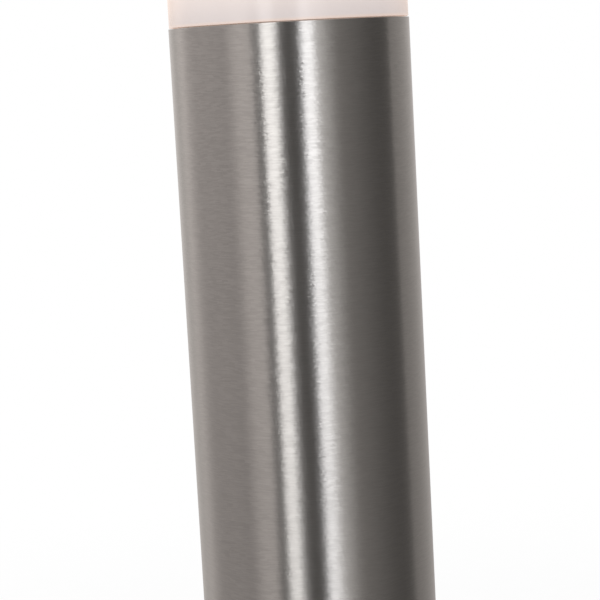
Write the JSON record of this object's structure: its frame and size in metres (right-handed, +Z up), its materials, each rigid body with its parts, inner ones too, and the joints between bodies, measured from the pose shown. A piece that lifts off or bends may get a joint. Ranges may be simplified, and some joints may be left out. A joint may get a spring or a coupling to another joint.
{
  "type": "bollard light",
  "caption": "Round stainless bollard light with a flush opal diffuser head, capped top, bolted base plate and sliding base cover.",
  "frame": {"origin": "centre of the base plate's underside, on the ground", "axes": "+Z up the post, -Y towards the front, +X to the front view's right"},
  "size_m": [0.1552, 0.1552, 0.8],
  "materials": {
    "brushed_post": "satin, brushed round the post",
    "spun_steel": "satin, spun",
    "galvanised": "galvanised",
    "fastener_steel": "machined",
    "cast_aluminium": "cast, fine grain",
    "opal": "opal, translucent, gloss",
    "white_plastic": "satin",
    "reflector_white": "matt white paint",
    "black_rubber": "matt",
    "box_grey": "fine texture",
    "gland_black": "moulded",
    "terminal_cream": "moulded",
    "clamp_grey": "moulded",
    "brass": "drawn",
    "sheath_black": "extruded",
    "core_brown": "extruded",
    "core_blue": "extruded",
    "core_green": "extruded, green and yellow",
    "earth_green": "passivated",
    "porcelain": "glazed",
    "nickel": "nickel plated",
    "insulator": "vitreous",
    "lamp_white": "satin",
    "board_green": "solder mask",
    "board_white": "white solder mask",
    "led_chip": "phosphor",
    "globe_opal": "frosted"
  },
  "bodies": {
    "post": {"base_plate": "galvanised", "post_socket": "cast_aluminium", "socket_screws": "fastener_steel", "post_tube": "brushed_post", "tube_screws": "fastener_steel", "box_bracket": "galvanised", "box_bracket_screws": "fastener_steel", "terminal_box": "box_grey", "terminal_box_seal": "black_rubber", "terminal_box_lid": "box_grey", "terminal_box_screws": "fastener_steel", "terminal_block": "terminal_cream", "terminal_inserts": "brass", "terminal_screws": "fastener_steel", "supply_gland_body": "gland_black", "supply_gland_seal": "black_rubber", "supply_gland_nut": "gland_black", "lead_gland_body": "gland_black", "lead_gland_seal": "black_rubber", "lead_gland_nut": "gland_black", "lamp_lead": "sheath_black", "live_core": "core_brown", "neutral_core": "core_blue", "earth_core": "core_green", "head_collar": "cast_aluminium", "head_grub_screws": "fastener_steel", "holder_bracket": "galvanised", "holder_bracket_screws": "fastener_steel", "cord_clamp": "clamp_grey", "cord_clamp_screws": "fastener_steel", "earth_lug": "nickel", "earth_screw": "earth_green", "holder_nipple": "brass", "holder_locknut": "brass", "lampholder_body": "porcelain", "lampholder_shell": "brass", "lampholder_contact": "brass", "lampholder_terminals": "brass"},
    "cover": {"base_cover": "spun_steel", "cover_seal": "black_rubber"},
    "head": {"diffuser": "opal", "head_spigot": "white_plastic", "head_o_ring": "black_rubber", "diffuser_top_ring": "white_plastic", "cap_gasket": "black_rubber", "cap": "spun_steel", "cap_stud": "fastener_steel", "reflector": "reflector_white", "cap_washer": "fastener_steel", "cap_nut": "fastener_steel"},
    "lamp_tip": {"lamp_contact": "nickel"},
    "lamp": {"lamp_insulator": "insulator", "lamp_screw_cap": "nickel", "lamp_body": "lamp_white", "lamp_driver": "board_green", "lamp_led_board": "board_white", "lamp_leds": "led_chip", "lamp_globe": "globe_opal"}
  },
  "joints": [
    {"name": "cover_slide", "type": "slide", "parent": "post", "child": "cover", "axis": [0, 0, 1], "range_m": [0, 0.08]},
    {"name": "head_lift", "type": "slide", "parent": "post", "child": "head", "axis": [0, 0, 1], "range_m": [0, 0.15]},
    {"name": "lamp_rise", "type": "slide", "parent": "post", "child": "lamp_tip", "axis": [0, 0, 1], "range_m": [0, 0.0205]},
    {"name": "lamp_turn", "type": "hinge", "parent": "lamp_tip", "child": "lamp", "pos_m": [0, 0, 0.6], "axis": [0, 0, 1], "range_deg": [0, 2016]}
  ],
  "couplings": [
    {"joint": "lamp_rise", "follows": "lamp_turn", "m_per_rad": 0.0005775}
  ]
}
